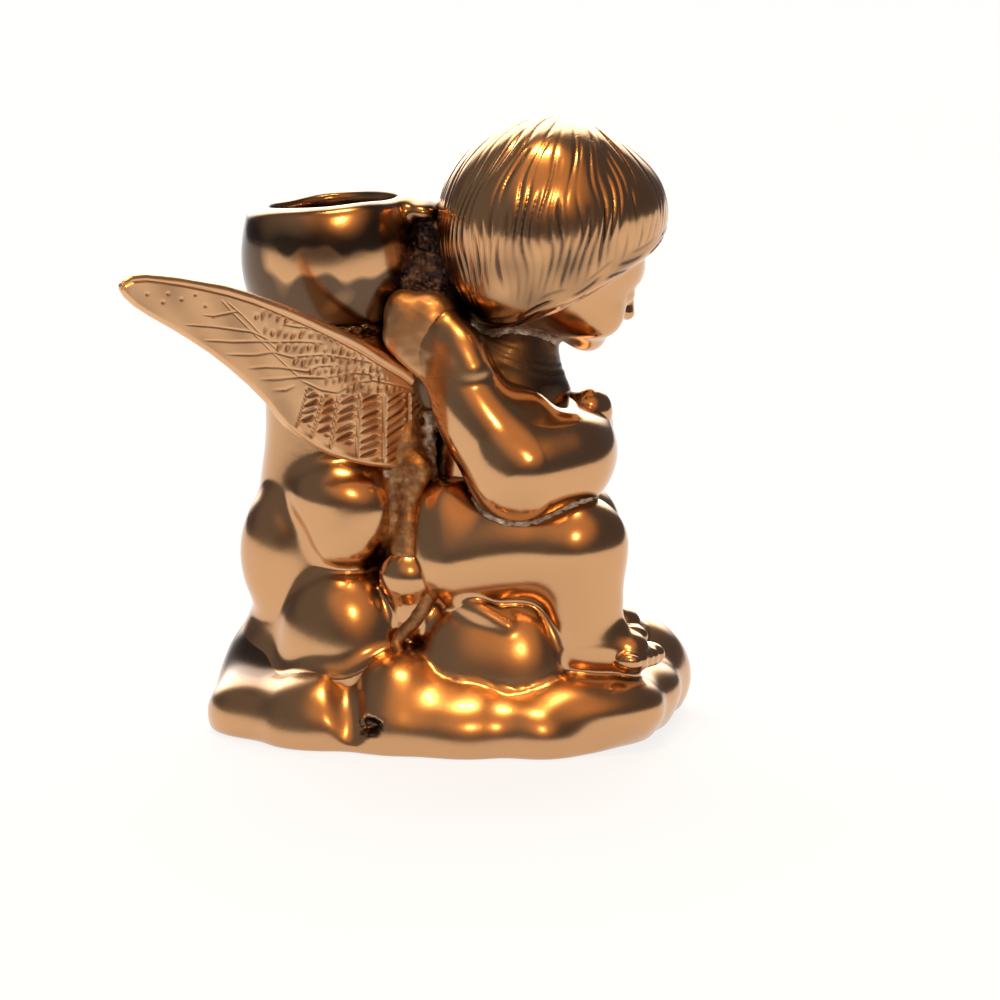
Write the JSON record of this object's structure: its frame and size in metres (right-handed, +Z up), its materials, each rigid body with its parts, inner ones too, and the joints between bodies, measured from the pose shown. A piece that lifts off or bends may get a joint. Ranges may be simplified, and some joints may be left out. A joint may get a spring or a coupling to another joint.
{
  "type": "candle holder",
  "caption": "Cast brass candle holder: a winged cherub sits on a cloud base with its forearms folded on its knees, its back to a cloud stem that carries a round candle cup.",
  "frame": {"origin": "on the table, under the middle of the whole", "axes": "+X the way the cherub faces, +Y towards its left hand, +Z up along the candle"},
  "size_m": [0.0838, 0.1014, 0.1051],
  "materials": {
    "polished_brass": "polished casting with brown patina in the hollows",
    "engraved_brass": "satin casting with engraved feathers",
    "braze": "rough, dark braze metal"
  },
  "bodies": {
    "root": {"cloud_base": "polished_brass", "cloud_stem": "polished_brass", "candle_cup": "polished_brass", "cherub_torso": "polished_brass", "cherub_head": "polished_brass", "right_arm": "polished_brass", "left_arm": "polished_brass", "right_leg": "polished_brass", "left_leg": "polished_brass", "right_wing": "engraved_brass", "left_wing": "engraved_brass", "right_wing_braze": "braze", "left_wing_braze": "braze", "right_arm_braze": "braze", "left_arm_braze": "braze", "neck_braze": "braze", "cup_braze": "braze", "back_braze": "braze"}
  },
  "joints": []
}
